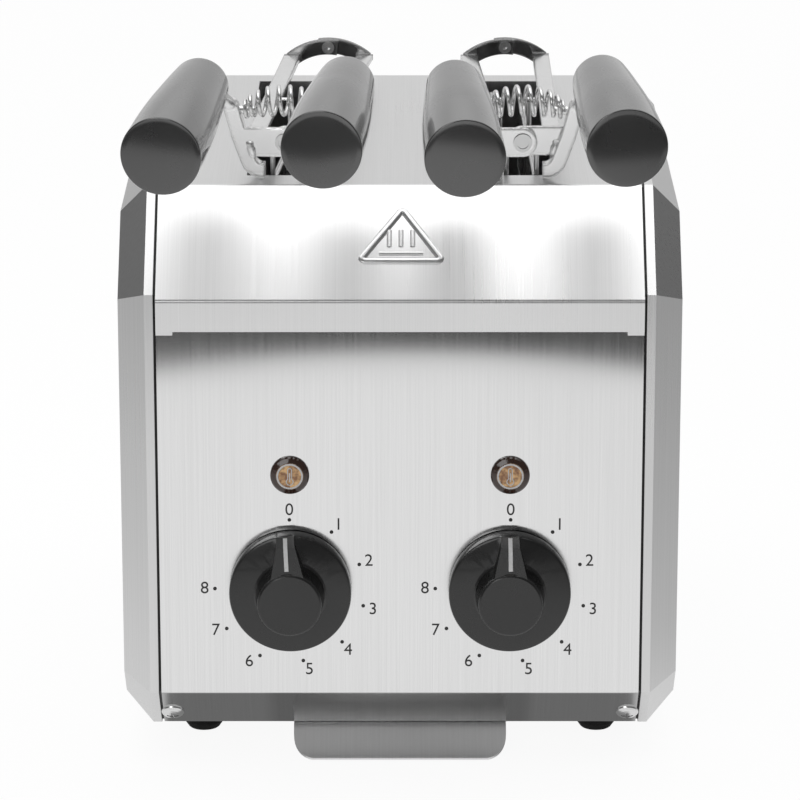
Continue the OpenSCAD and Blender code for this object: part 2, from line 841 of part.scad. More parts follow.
// Wire cage, its first and a middle wire bent over to the rail
module cage_half(side) {
  front = side < 0 ? -plate_gap : strip_half;
  rear = pivot_span + (side < 0 ? -plate_gap - arch_thick : plate_gap);
  first = 10;
  pitch = (slot_length - 16) / (cage_wires - 1);
  last = first + (cage_wires - 1) * pitch;
  wire_r = cage_wire / 2;
  steel() half(side) {
    rod_y(first - 2, last + 2, cage_x, cage_top, cage_bar / 2);
    for (i = [0:cage_wires - 1]) {
      y = first + i * pitch;
      rail = rail_at(y, front - 0.2, rear + 0.2);
      bent = i == 0 || i == floor(cage_wires / 2) - 1;
      rod_z(-cage_depth, bent ? rail.y : cage_top, cage_x, y, wire_r);
      if (bent) {
        translate([cage_x, y, rail.y]) sphere(r = wire_r + 0.2);
        rod_x(cage_x, rail.x - rail_width / 2, y, rail.y, wire_r);
      }
    }
    rod_y(first - 2, last + 2, cage_x, -cage_depth, cage_bar / 2);
    for (f = [0.33, 0.66])
      rod_y(first - 2, last + 2, cage_x, -f * cage_depth, wire_r * 0.9);
    for (i = [1:2:cage_wires - 1])
      rod_x(2, cage_x, first + i * pitch, -cage_depth, wire_r);
  }
}

// Handle profile along its axis, as [radius, distance from the near end]
function handle_profile() =
  let (near = handle_near / 2, far = handle_far / 2, long = handle_length)
  [
    [0, 0], [near - handle_round, 0], [near - 0.2, 0.3], [near, 1.2],
    [near - 0.2, 0.25 * long], [near - 0.8, 0.45 * long], [near - 1.7, 0.62 * long],
    [far + 1.1, 0.82 * long], [far + 0.2, long - 3.5], [far - 0.6, long - 1.2], [far - 2, long], [0, long]
  ];

module handle_half(side, outer) {
  black() half(side) translate(far_end(side)) rotate([0, 0, splay_of(outer)])
    rotate([pitch_of(side) - 90, 0, 0]) translate([0, 0, -handle_length]) difference() {
      rotate_extrude() polygon(handle_profile());
      translate([0, 0, handle_length - rod_depth]) cylinder(r = rod_r + running, h = rod_depth + 1);
    }
}

module front_rivet() {
  reach = strip_half + 0.3;
  steel() difference() {
    union() {
      rod_y(-reach, reach, 0, 0, hole_r - running);
      rod_y(-reach - 0.6, -reach, 0, 0, hole_r + 0.7);
      rod_y(reach, reach + 0.6, 0, 0, hole_r + 0.7);
    }
    for (y = [-reach - 1, reach]) rod_y(y, y + 1, 0, 0, hole_r - 0.5);
  }
}

module rear_rivet() {
  reach = plate_gap + arch_thick + 0.3;
  steel() translate([0, pivot_span, 0]) difference() {
    union() {
      rod_y(-reach, reach, 0, 0, rear_hole_r - running);
      rod_y(-reach - 0.9, -reach, 0, 0, rear_hole_r + 0.6);
      rod_y(reach, reach + 0.9, 0, 0, rear_hole_r + 0.6);
    }
    rod_y(-9, 1 - reach, 0, 0, 1);
  }
}

// Barrel spring: one tube along a helix whose radius swells and whose axis arches towards the middle

spring_rings = 12;
spring_sides = 6;
spring_count = spring_coils * spring_rings;

function spring_radius(s) = (spring_end + (spring_middle - spring_end) * sin(180 * s)) / 2;
function spring_spoke(i) = let (a = 360 * i / spring_rings) [0, cos(a), sin(a)];
function spring_point(i) =
  let (s = i / spring_count)
  [(s - 0.5) * (spring_length - spring_wire), 0, spring_rise + spring_arch * sin(180 * s)]
    + spring_radius(s) * spring_spoke(i);

spring_path = let (
    turns = [for (i = [0:spring_count]) spring_point(i)],
    last = len(turns) - 1,
    lead_in = unit(turns[0] - turns[1]),
    lead_out = unit(turns[last] - turns[last - 1])
  ) concat([turns[0] + spring_wire * lead_in], turns, [turns[last] + spring_wire * lead_out]);

function spring_ring(i) =
  let (
    last = len(spring_path) - 1,
    run = unit(spring_path[min(i + 1, last)] - spring_path[max(i - 1, 0)]),
    spoke = spring_spoke(min(max(i - 1, 0), spring_count)),
    out = unit(spoke - (spoke * run) * run),
    across = cross(run, out)
  )
  [for (k = [0:spring_sides - 1])
    spring_path[i] + spring_wire / 2 * (cos(60 * k) * out + sin(60 * k) * across)];

spring_gap = min([
  for (i = [0:spring_count - spring_rings / 2])
    for (j = [i + spring_rings / 2:spring_count])
      norm(spring_point(i) - spring_point(j)) - spring_wire
]);
echo(spring_least_gap = spring_gap);

module spring() {
  n = len(spring_path);
  m = spring_sides;
  steel() polyhedron(
    points = [for (i = [0:n - 1]) each spring_ring(i)],
    faces = concat(
      [[for (k = [0:m - 1]) k]],
      [[for (k = [m - 1:-1:0]) (n - 1) * m + k]],
      [for (i = [0:n - 2]) for (k = [0:m - 1])
        let (a = i * m + k, b = i * m + (k + 1) % m)
        each [[a, a + m, b + m], [a, b + m, b]]]
    )
  );
}

module left_tong_frame_a() { left_tong() frame_half(-1, true); }
module left_tong_frame_b() { left_tong() frame_half(1, false); }
module left_tong_cage_a() { left_tong() cage_half(-1); }
module left_tong_cage_b() { left_tong() cage_half(1); }
module left_tong_handle_a() { left_tong() handle_half(-1, true); }
module left_tong_handle_b() { left_tong() handle_half(1, false); }
module left_tong_front_rivet() { left_tong() front_rivet(); }
module left_tong_rear_rivet() { left_tong() rear_rivet(); }
module left_tong_spring() { left_tong() spring(); }

module right_tong_frame_a() { right_tong() frame_half(-1, false); }
module right_tong_frame_b() { right_tong() frame_half(1, true); }
module right_tong_cage_a() { right_tong() cage_half(-1); }
module right_tong_cage_b() { right_tong() cage_half(1); }
module right_tong_handle_a() { right_tong() handle_half(-1, false); }
module right_tong_handle_b() { right_tong() handle_half(1, true); }
module right_tong_front_rivet() { right_tong() front_rivet(); }
module right_tong_rear_rivet() { right_tong() rear_rivet(); }
module right_tong_spring() { right_tong() spring(); }

module placed() { translate([0, -y_mid, 0]) children(); }

placed() hood();
placed() front_panel();
placed() rear_panel();
placed() left_cover();
placed() right_cover();
placed() base_pan();
placed() front_bulkhead();
placed() rear_bulkhead();
placed() left_shield();
placed() right_shield();
placed() left_element();
placed() centre_element();
placed() right_element();
placed() element_bushings();
placed() left_outer_guard();
placed() left_inner_guard();
placed() right_inner_guard();
placed() right_outer_guard();
placed() tray_runners();
placed() crumb_tray();
placed() rubber_feet();
placed() foot_screws();
placed() panel_screws();
placed() left_regulator();
placed() right_regulator();
placed() regulator_screws();
placed() left_dial_shaft();
placed() right_dial_shaft();
placed() left_knob();
placed() right_knob();
placed() left_lamp_lens();
placed() right_lamp_lens();
placed() left_lamp_holder();
placed() right_lamp_holder();
placed() cord_gland();
placed() gland_nut();
placed() terminal_block();
placed() left_tong_frame_a();
placed() left_tong_frame_b();
placed() left_tong_cage_a();
placed() left_tong_cage_b();
placed() left_tong_handle_a();
placed() left_tong_handle_b();
placed() left_tong_front_rivet();
placed() left_tong_rear_rivet();
placed() left_tong_spring();
placed() right_tong_frame_a();
placed() right_tong_frame_b();
placed() right_tong_cage_a();
placed() right_tong_cage_b();
placed() right_tong_handle_a();
placed() right_tong_handle_b();
placed() right_tong_front_rivet();
placed() right_tong_rear_rivet();
placed() right_tong_spring();
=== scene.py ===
"""Looks for a two-slot tong toaster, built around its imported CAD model."""

import json
import math

import bmesh
import bpy
from mathutils import Matrix, Vector


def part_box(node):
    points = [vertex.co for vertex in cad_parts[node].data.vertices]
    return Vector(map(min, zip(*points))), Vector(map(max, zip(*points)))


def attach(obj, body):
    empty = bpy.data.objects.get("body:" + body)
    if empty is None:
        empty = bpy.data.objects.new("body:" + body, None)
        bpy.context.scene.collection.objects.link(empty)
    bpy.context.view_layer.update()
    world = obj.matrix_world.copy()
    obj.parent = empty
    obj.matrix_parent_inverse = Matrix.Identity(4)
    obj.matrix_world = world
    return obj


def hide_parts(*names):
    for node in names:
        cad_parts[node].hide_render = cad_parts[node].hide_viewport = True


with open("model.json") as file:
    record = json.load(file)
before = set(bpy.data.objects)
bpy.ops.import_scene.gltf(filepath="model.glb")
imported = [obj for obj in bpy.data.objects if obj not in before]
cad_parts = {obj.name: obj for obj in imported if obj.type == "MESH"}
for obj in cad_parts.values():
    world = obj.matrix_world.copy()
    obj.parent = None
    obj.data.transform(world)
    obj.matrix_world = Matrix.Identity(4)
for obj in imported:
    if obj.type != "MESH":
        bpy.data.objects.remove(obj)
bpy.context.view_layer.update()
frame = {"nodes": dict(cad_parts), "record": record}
nodes = frame["nodes"]

MM = 0.001

# Sign of x for each side of the toaster, and for each half of a tong
SIDES = {"left": -1, "right": 1}
HALVES = {"a": -1, "b": 1}

# Places taken from the frame
PANEL_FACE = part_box("front_panel")[0].y
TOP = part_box("hood")[1].z

# Sizes of the part that the looks follow
SLOPE_RUN = 35.5 * MM
LIP_PROUD = 2 * MM
LIP_TOP = TOP - SLOPE_RUN - LIP_PROUD
CHAMFER_TOP = 31 * MM
TRAY_LIP_SIDE = 53 * MM
COVER_EDGE = 96.5 * MM
ARCH_REACH = 4.5 * MM


def middle(node):
    """The middle of a node's box."""
    low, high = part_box(node)
    return (low + high) / 2


def joint(name):
    """A joint of the record, found by its name."""
    return next(j for j in frame["record"]["behaviour"]["joints"] if j["name"] == name)


def tong_matrix(side):
    """The tong's own frame: origin on the front pivot, y along the hinge, z up."""
    hinge = joint(f"{side}_jaw_a_open")
    along = Vector(hinge["axis"]).normalized()
    across = along.cross(Vector((0, 0, 1)))
    turn = Matrix((across, along, Vector((0, 0, 1)))).transposed().to_4x4()
    return Matrix.Translation(hinge["pos_m"]) @ turn


TONGS = {side: tong_matrix(side) for side in SIDES}
ARCH_FRONT = middle("left_tong_rear_rivet").y - ARCH_REACH
LAMP = middle("right_lamp_lens")


# Shader helpers

def add(tree, kind, sockets=None, **settings):
    """A node with its settings, and with values or links on its input sockets."""
    node = tree.nodes.new(kind)
    for name, value in settings.items():
        setattr(node, name, value)
    for name, value in (sockets or {}).items():
        if isinstance(value, bpy.types.NodeSocket):
            tree.links.new(value, node.inputs[name])
        else:
            node.inputs[name].default_value = value
    return node


def math_node(tree, operation, a, b=0.0, c=0.0):
    return add(tree, "ShaderNodeMath", {0: a, 1: b, 2: c}, operation=operation).outputs[0]


def product(tree, value, *factors):
    for factor in factors:
        value = math_node(tree, "MULTIPLY", value, factor)
    return value


def new_material(name, **sockets):
    """A material with values on its main shader, whose input names are given with underscores."""
    mat = bpy.data.materials.new(name)
    mat.use_nodes = True
    tree = mat.node_tree
    shader = tree.nodes["Principled BSDF"]
    for key, value in sockets.items():
        shader.inputs[key.replace("_", " ")].default_value = value
    return mat, tree, shader


def grey(value):
    return (value, value, value, 1)


def object_place(tree):
    """The X, Y and Z outputs of a point's Object coordinates."""
    coord = add(tree, "ShaderNodeTexCoord")
    return add(tree, "ShaderNodeSeparateXYZ", {"Vector": coord.outputs["Object"]}).outputs


def object_noise(tree, stretch, detail=3.0, rough=0.6):
    """Noise on Object coordinates, with a repeat per metre for each axis."""
    coord = add(tree, "ShaderNodeTexCoord")
    mapping = add(tree, "ShaderNodeMapping", {"Vector": coord.outputs["Object"], "Scale": stretch})
    noise = add(tree, "ShaderNodeTexNoise", {
        "Vector": mapping.outputs["Vector"], "Scale": 1.0, "Detail": detail, "Roughness": rough})
    return noise.outputs["Fac"]


def spread(tree, value, low, high, start=0.3, end=0.7):
    """A value that goes from start to end, spread over the range from low to high."""
    node = add(tree, "ShaderNodeMapRange", {
        "Value": value, "From Min": start, "From Max": end, "To Min": low, "To Max": high})
    return node.outputs["Result"]


def two_tone(tree, share, first, second):
    """A colour from the first, where the share is 0, to the second, where it is 1."""
    return add(tree, "ShaderNodeMix", {0: share, 6: first, 7: second}, data_type="RGBA").outputs[2]


def bumped(tree, shader, height, strength, distance):
    bump = add(tree, "ShaderNodeBump", {"Height": height, "Strength": strength, "Distance": distance})
    tree.links.new(bump.outputs["Normal"], shader.inputs["Normal"])
    return bump


def leaning(tree, leans):
    """Normals of the faces below each height, tipped down to the floor by its angle."""
    height = 0.0
    for limit, degrees in leans:
        low = math_node(tree, "MINIMUM", object_place(tree)["Z"], limit)
        height = math_node(tree, "MULTIPLY_ADD", low, math.tan(math.radians(degrees)), height)
    bump = add(tree, "ShaderNodeBump", {"Height": height, "Strength": 1.0, "Distance": 1.0})
    return bump.outputs["Normal"]


# Finishes

BRUSH_DEPTH = 0.06 * MM
MOULD_DEPTH = 0.05 * MM
GRAIN_DEPTH = 0.1 * MM
FACET_DEPTH = 0.4 * MM

# Degrees that the hood's lip and the panel are tipped by
LIP_LEAN = 4
PANEL_LEAN = -1.33

# Share of its own tone that each place keeps under painted shade; behind the tray's lip the chamfer's shade
# also stands for a painted reflection of the lip
CHAMFER_SHADE = 0.60
BEHIND_TRAY_LIP = 0.44
ARCH_SHADE = 0.28


def chamfer_shadow(tree):
    """Painted shade on the chamfer, darkest behind the tray's lip, where it also stands for a painted
    reflection of the lip.
    """
    place = object_place(tree)
    aside = math_node(tree, "ABSOLUTE", place["X"])
    low = spread(tree, aside, BEHIND_TRAY_LIP, CHAMFER_SHADE, TRAY_LIP_SIDE - 4 * MM, TRAY_LIP_SIDE + 2 * MM)
    high = spread(tree, place["Z"], 0, 1, CHAMFER_TOP - 0.3 * MM, CHAMFER_TOP)
    return math_node(tree, "MAXIMUM", low, high)


def arch_shadow(tree):
    """Painted shade that darkens the arches at the tongs' rear ends."""
    return spread(tree, object_place(tree)["Y"], 1, ARCH_SHADE, ARCH_FRONT - 0.4 * MM, ARCH_FRONT)


def gap_shadow(tree):
    """Painted shade in the gap between a side cover and the panel."""
    aside = math_node(tree, "ABSOLUTE", object_place(tree)["X"])
    return spread(tree, aside, 0, 1, COVER_EDGE - 0.02 * MM, COVER_EDGE + 0.15 * MM)


def brushed_steel(name, stretch, tone, rough, across=(1, 0, 0), grain=0.75,
                  strength=0.08, leans=(), shadow=None, edge=0.0):
    """Stainless sheet whose reflections spread across the grain.

    Leans tip its upright faces, a shadow is a value whose painted shade darkens its colour where
    that is 0, and an edge is the radius of its worn corners.
    """
    mat, tree, shader = new_material(name, Metallic=1.0, Anisotropic=grain)
    lines = object_noise(tree, stretch, detail=4.0, rough=0.7)
    cloud = object_noise(tree, (9, 9, 9), detail=2.0, rough=0.5)
    tint = two_tone(tree, spread(tree, lines, 0, 1), grey(tone * 0.95), grey(min(tone * 1.04, 1)))
    # Painted shade: the colour goes to near black where the shadow's value is 0
    if shadow:
        tint = two_tone(tree, shadow(tree), grey(tone * 0.04), tint)
    tree.links.new(tint, shader.inputs["Base Color"])
    both = math_node(tree, "ADD", lines, cloud)
    tree.links.new(spread(tree, both, rough * 0.85, rough * 1.2, 0.7, 1.3), shader.inputs["Roughness"])
    bump = bumped(tree, shader, lines, strength, BRUSH_DEPTH)
    if leans:
        tree.links.new(leaning(tree, leans), bump.inputs["Normal"])
    if edge:
        corners = add(tree, "ShaderNodeBevel", {"Radius": edge}, samples=6)
        tree.links.new(corners.outputs[0], bump.inputs["Normal"])
    if grain:
        spin = add(tree, "ShaderNodeCombineXYZ", dict(zip("XYZ", across)))
        tree.links.new(spin.outputs[0], shader.inputs["Tangent"])
    return mat


def moulded_black(name, tone, rough, coat, coat_ior=1.5):
    """Black thermoset with a faint mould texture and handling marks."""
    mat, tree, shader = new_material(name, Coat_Weight=coat, Coat_Roughness=0.09, Coat_IOR=coat_ior)
    fine = object_noise(tree, (900, 900, 900), detail=2.0)
    wear = object_noise(tree, (45, 45, 45), detail=4.0)
    tint = two_tone(tree, spread(tree, wear, 0, 1), grey(tone * 0.8), grey(tone * 1.3))
    tree.links.new(tint, shader.inputs["Base Color"])
    tree.links.new(spread(tree, wear, rough * 0.85, rough * 1.2), shader.inputs["Roughness"])
    bumped(tree, shader, fine, strength=0.03, distance=MOULD_DEPTH)
    return mat


def plain_finish(name, first, second, rough, metallic=0.0, grain=160):
    """A two-tone finish with a soft grain, for hidden and small pieces."""
    mat, tree, shader = new_material(name, Metallic=metallic)
    noise = object_noise(tree, (grain, grain, grain))
    tree.links.new(two_tone(tree, spread(tree, noise, 0, 1), first, second), shader.inputs["Base Color"])
    tree.links.new(spread(tree, noise, rough * 0.85, rough * 1.15), shader.inputs["Roughness"])
    bumped(tree, shader, noise, strength=0.1, distance=GRAIN_DEPTH)
    return mat


WINDOW_RADIUS = 5.3 * MM
AMBER_DARK = (0.32, 0.125, 0.036, 1)
AMBER_LIGHT = (1.0, 0.62, 0.27, 1)
AMBER_RIM = (0.040, 0.016, 0.009, 1)


def amber_lens():
    """Amber plastic with a mottled window and a dark rim, drawn about both lamps' axes."""
    mat, tree, shader = new_material("amber_lens", Roughness=0.12, Coat_Weight=0.6, IOR=1.49)
    facets = object_noise(tree, (520, 520, 520), detail=1.5)
    glow = two_tone(tree, spread(tree, facets, 0, 1, 0.40, 0.64), AMBER_DARK, AMBER_LIGHT)
    place = object_place(tree)
    aside = math_node(tree, "SUBTRACT", math_node(tree, "ABSOLUTE", place["X"]), LAMP.x)
    above = math_node(tree, "SUBTRACT", place["Z"], LAMP.z)
    squares = math_node(tree, "ADD", product(tree, aside, aside), product(tree, above, above))
    away = math_node(tree, "SQRT", squares)
    rim = spread(tree, away, 0, 1, WINDOW_RADIUS - 0.2 * MM, WINDOW_RADIUS + 0.2 * MM)
    tree.links.new(two_tone(tree, rim, glow, AMBER_RIM), shader.inputs["Base Color"])
    bumped(tree, shader, facets, strength=0.25, distance=FACET_DEPTH)
    return mat


# The panel's chamfer, the covers' gap and the tongs' arches carry painted shade through their shadows
FINISH = {
    "hood": brushed_steel("hood_steel", (1900, 8, 8), tone=0.82, rough=0.31, strength=0.05,
                          leans=[(LIP_TOP, LIP_LEAN)]),
    "panel": brushed_steel("panel_steel", (2000, 14, 14), tone=0.82, rough=0.12, grain=1.0,
                           strength=0.05, leans=[(TOP, PANEL_LEAN)], shadow=chamfer_shadow),
    "cover": brushed_steel("cover_steel", (700, 1300, 5), tone=0.76, rough=0.30, across=(0.3, 1, 0),
                           shadow=gap_shadow),
    "sheet": brushed_steel("inner_sheet_steel", (60, 60, 60), tone=0.62, rough=0.38),
    "tray": brushed_steel("tray_steel", (900, 8, 8), tone=0.94, rough=0.33, grain=0.6, strength=0.03),
    "tong": brushed_steel("tong_steel", (120, 120, 120), tone=0.92, rough=0.17, grain=0,
                          strength=0.02, shadow=arch_shadow, edge=1.6 * MM),
    "wire": brushed_steel("wire_steel", (300, 300, 40), tone=0.76, rough=0.22, grain=0, strength=0.05),
    "screw": brushed_steel("screw_steel", (200, 200, 200), tone=0.78, rough=0.22, grain=0, strength=0.03),
    "handle": moulded_black("handle_black", tone=0.009, rough=0.26, coat=1.0, coat_ior=1.9),
    "knob": moulded_black("knob_black", tone=0.012, rough=0.28, coat=0.35),
    "rubber": plain_finish("foot_rubber", grey(0.012), grey(0.03), rough=0.7),
    "nylon": plain_finish("gland_nylon", grey(0.02), grey(0.04), rough=0.5),
    "sheath": plain_finish("element_sheath", (0.09, 0.08, 0.075, 1), (0.16, 0.13, 0.12, 1), rough=0.5,
                           metallic=0.8),
    "ceramic": plain_finish("bushing_ceramic", (0.78, 0.76, 0.70, 1), (0.86, 0.84, 0.78, 1), rough=0.6),
    "cream": plain_finish("regulator_cream", (0.60, 0.55, 0.44, 1), (0.68, 0.63, 0.52, 1), rough=0.5),
    "print": plain_finish("dial_print", grey(0.035), grey(0.055), rough=0.6, grain=900),
    "white": plain_finish("pointer_white", grey(0.75), grey(0.85), rough=0.5, grain=900),
    "amber": amber_lens(),
}


# Mesh helpers

def make_piece(name, mesh, body, finish, stands_for=()):
    """Puts a finished mesh on a body of the frame."""
    obj = bpy.data.objects.new(name, mesh)
    bpy.context.scene.collection.objects.link(obj)
    mesh.materials.clear()
    mesh.materials.append(FINISH[finish])
    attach(obj, body)
    if stands_for:
        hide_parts(*stands_for)


def finish_mesh(bm, name, smooth=True):
    mesh = bpy.data.meshes.new(name)
    bm.to_mesh(mesh)
    bm.free()
    mesh.polygons.foreach_set("use_smooth", [smooth] * len(mesh.polygons))
    return mesh


def joined(name, meshes, smooth=False):
    bm = bmesh.new()
    for mesh in meshes:
        bm.from_mesh(mesh)
    return finish_mesh(bm, name, smooth)


def lathe(name, profile, segments=72):
    """A closed solid of revolution about Z from [radius, height] points, from pole to pole."""
    bm = bmesh.new()
    turns = [2 * math.pi * k / segments for k in range(segments)]
    rings = []
    for radius, height in profile:
        if radius == 0:
            rings.append([bm.verts.new((0, 0, height))])
        else:
            rings.append([bm.verts.new((radius * math.cos(a), radius * math.sin(a), height)) for a in turns])
    for low, high in zip(rings, rings[1:]):
        for k in range(segments):
            near, far = k, (k + 1) % segments
            corners = [low[near % len(low)], low[far % len(low)],
                       high[far % len(high)], high[near % len(high)]]
            bm.faces.new(list(dict.fromkeys(corners)))
    bmesh.ops.recalc_face_normals(bm, faces=bm.faces)
    return finish_mesh(bm, name)


def smooth_profile(points, steps=6):
    """A curve through [radius, height] points, by Catmull-Rom."""
    path = [Vector(p) for p in points]
    ends = [2 * path[0] - path[1]] + path + [2 * path[-1] - path[-2]]
    curve = []
    for a, b, c, d in zip(ends, ends[1:], ends[2:], ends[3:]):
        for k in range(steps):
            t = k / steps
            curve.append(0.5 * (2 * b + (c - a) * t + (2 * a - 5 * b + 4 * c - d) * t * t
                                + (3 * b - a - 3 * c + d) * t ** 3))
    return [(max(p.x, 0), p.y) for p in curve] + [tuple(path[-1])]


def rounded_corner(radius, height, bend, turn_in, steps=5):
    """Points round an outer corner at [radius, height], going in at the top or out at the bottom."""
    points = []
    for k in range(steps + 1):
        a = math.radians(90 * k / steps)
        if turn_in:
            points.append((radius - bend + bend * math.cos(a), height - bend + bend * math.sin(a)))
        else:
            points.append((radius - bend + bend * math.sin(a), height + bend - bend * math.cos(a)))
    return points


SEAM_GAP = 0.01 * MM
FLAT_ANGLE = math.radians(0.5)


def soften(node, width, segments=2, angle=28):
    """Rounds the edges of a CAD node with live modifiers."""
    obj = nodes[node]
    weld = obj.modifiers.new("close_seams", "WELD")
    weld.merge_threshold = SEAM_GAP
    merge = obj.modifiers.new("whole_faces", "DECIMATE")
    merge.decimate_type = "DISSOLVE"
    merge.angle_limit = FLAT_ANGLE
    bevel = obj.modifiers.new("rounded_edges", "BEVEL")
    bevel.width = width
    bevel.segments = segments
    bevel.limit_method = "ANGLE"
    bevel.angle_limit = math.radians(angle)
    bevel.harden_normals = True


def dress(node, finish):
    """Gives a CAD node its finish."""
    obj = nodes[node]
    obj.data.materials.clear()
    obj.data.materials.append(FINISH[finish])


# Finishes and rounded edges of the CAD nodes

DRESS = {
    "hood": ["hood"],
    "panel": ["front_panel", "rear_panel"],
    "cover": ["left_cover", "right_cover"],
    "sheet": ["base_pan", "front_bulkhead", "rear_bulkhead", "left_shield", "right_shield", "tray_runners"],
    "tray": ["crumb_tray"],
    "screw": ["panel_screws", "foot_screws", "regulator_screws", "left_dial_shaft", "right_dial_shaft"],
    "sheath": ["left_element", "centre_element", "right_element"],
    "ceramic": ["element_bushings", "terminal_block"],
    "cream": ["left_regulator", "right_regulator", "left_lamp_holder", "right_lamp_holder"],
    "amber": ["left_lamp_lens", "right_lamp_lens"],
    "nylon": ["cord_gland", "gland_nut"],
    "rubber": ["rubber_feet"],
    "knob": ["left_knob", "right_knob"],
    "wire": ["left_outer_guard", "left_inner_guard", "right_inner_guard", "right_outer_guard"],
}
for finish, names in DRESS.items():
    for node in names:
        dress(node, finish)

for side in SIDES:
    for half in HALVES:
        dress(f"{side}_tong_frame_{half}", "tong")
        dress(f"{side}_tong_cage_{half}", "wire")
        dress(f"{side}_tong_handle_{half}", "handle")
        soften(f"{side}_tong_frame_{half}", 1.2 * MM, segments=4)
    dress(f"{side}_tong_front_rivet", "screw")
    dress(f"{side}_tong_rear_rivet", "screw")
    dress(f"{side}_tong_spring", "wire")
    soften(f"{side}_cover", 1.8 * MM, segments=4, angle=20)
    soften(f"{side}_knob", 0.5 * MM, segments=3)
soften("cord_gland", 0.6 * MM)
soften("rubber_feet", 0.6 * MM)


# Handles, turned to a smooth profile

HANDLE_LENGTH = 83 * MM
HANDLE_NEAR = 15.2 * MM
HANDLE_FAR = 11.2 * MM
NEAR_ROUND = 0.5 * MM
FAR_ROUND = 2.4 * MM
HANDLE_DOME = 0.2 * MM
DOME_STEPS = 8
# Slope of the cut at each half's near end, which fades out over the cap
HANDLE_LEAN = {"a": 0.015, "b": 0.0}
HANDLE_CAP = 1.2 * MM
# Place of a handle's far end from the front pivot, and how much higher it is on half b
HANDLE_X = 28.3 * MM
HANDLE_GAP = 38.5 * MM
HANDLE_RISE = 32.2 * MM
HANDLE_STAGGER = 1.6 * MM
# Angles in degrees
HANDLE_PITCH = 5.6
PITCH_STAGGER = 1.5
SPLAY = {"outer": 3.5, "inner": -1.2}
# Radius at a share of the length
HANDLE_FORM = [
    (HANDLE_NEAR, 0.015), (HANDLE_NEAR - 0.2 * MM, 0.25), (HANDLE_NEAR - 0.8 * MM, 0.45),
    (HANDLE_NEAR - 1.7 * MM, 0.62), (HANDLE_FAR + 1.1 * MM, 0.82), (HANDLE_FAR + 0.1 * MM, 0.96)]


def handle_mesh(name, lean):
    """A turned handle, with its near end cut a little off square."""
    rim = HANDLE_NEAR - NEAR_ROUND
    steps = [k / DOME_STEPS for k in range(DOME_STEPS)]
    dome = [(rim * step, HANDLE_DOME * (step ** 2 - 1)) for step in steps]
    near = rounded_corner(HANDLE_NEAR, 0, NEAR_ROUND, turn_in=False)
    body = smooth_profile([(radius, share * HANDLE_LENGTH) for radius, share in HANDLE_FORM])
    far = rounded_corner(HANDLE_FAR, HANDLE_LENGTH, FAR_ROUND, turn_in=True)
    mesh = lathe(name, dome + near + body + far + [(0, HANDLE_LENGTH)])
    for vertex in mesh.vertices:
        share = min(1, max(0, 1 - vertex.co.z / HANDLE_CAP))
        vertex.co.z -= share * lean * vertex.co.y
    return mesh


def handle_matrix(sign, place):
    """A handle's place in its tong's frame."""
    far_end = Matrix.Translation((sign * HANDLE_X, -HANDLE_GAP, HANDLE_RISE + sign * HANDLE_STAGGER / 2))
    splay = Matrix.Rotation(sign * math.radians(SPLAY[place]), 4, "Z")
    pitch = Matrix.Rotation(math.radians(HANDLE_PITCH - sign * PITCH_STAGGER / 2 - 90), 4, "X")
    return far_end @ splay @ pitch @ Matrix.Translation((0, 0, -HANDLE_LENGTH))


for side, tong in TONGS.items():
    for half, sign in HALVES.items():
        place = "outer" if sign == SIDES[side] else "inner"
        mesh = handle_mesh(f"{side}_handle_{half}", HANDLE_LEAN[half])
        mesh.transform(tong @ handle_matrix(sign, place))
        make_piece(f"{side}_handle_{half}_turned", mesh, f"{side}_jaw_{half}", "handle",
                   [f"{side}_tong_handle_{half}"])


# Geometry Nodes helpers

def node_tree(name, inputs):
    """An empty tree with named inputs, given as {name: socket kind}."""
    tree = bpy.data.node_groups.new(name, "GeometryNodeTree")
    for key, kind in inputs.items():
        tree.interface.new_socket(key, in_out="INPUT", socket_type=f"NodeSocket{kind}")
    tree.interface.new_socket("Geometry", in_out="OUTPUT", socket_type="NodeSocketGeometry")
    given = tree.nodes.new("NodeGroupInput").outputs
    return tree, given


def tree_end(tree, geometry, smooth=True):
    """Makes the instances real, sets their shading and closes the tree."""
    real = add(tree, "GeometryNodeRealizeInstances", {"Geometry": geometry})
    shaded = add(tree, "GeometryNodeSetShadeSmooth", {"Geometry": real.outputs[0], "Shade Smooth": smooth})
    out = tree.nodes.new("NodeGroupOutput")
    tree.links.new(shaded.outputs[0], out.inputs[0])


def grown(name, tree, values, base=None):
    """The plain mesh that a tree gives for these input values, grown on a base mesh where it takes one."""
    host = bpy.data.objects.new(name, base or bpy.data.meshes.new(name))
    bpy.context.scene.collection.objects.link(host)
    modifier = host.modifiers.new(name, "NODES")
    modifier.node_group = tree
    for item in tree.interface.items_tree:
        if item.in_out == "INPUT" and item.name in values:
            modifier[item.identifier] = values[item.name]
    evaluated = host.evaluated_get(bpy.context.evaluated_depsgraph_get())
    mesh = bpy.data.meshes.new_from_object(evaluated)
    bpy.data.objects.remove(host)
    mesh.name = name
    return mesh


# Barrel springs

SPRING = {
    "Coils": 9.5, "Points": 305, "End Radius": 3.1 * MM, "Middle Radius": 5.7 * MM,
    "Length": 32.2 * MM, "Arch": 4.0 * MM, "Wire Radius": 0.85 * MM}
SPRING_RISE = 12.5 * MM
# Pitch of the middle coils as a share of the mean pitch
MIDDLE_PITCH = 1.35


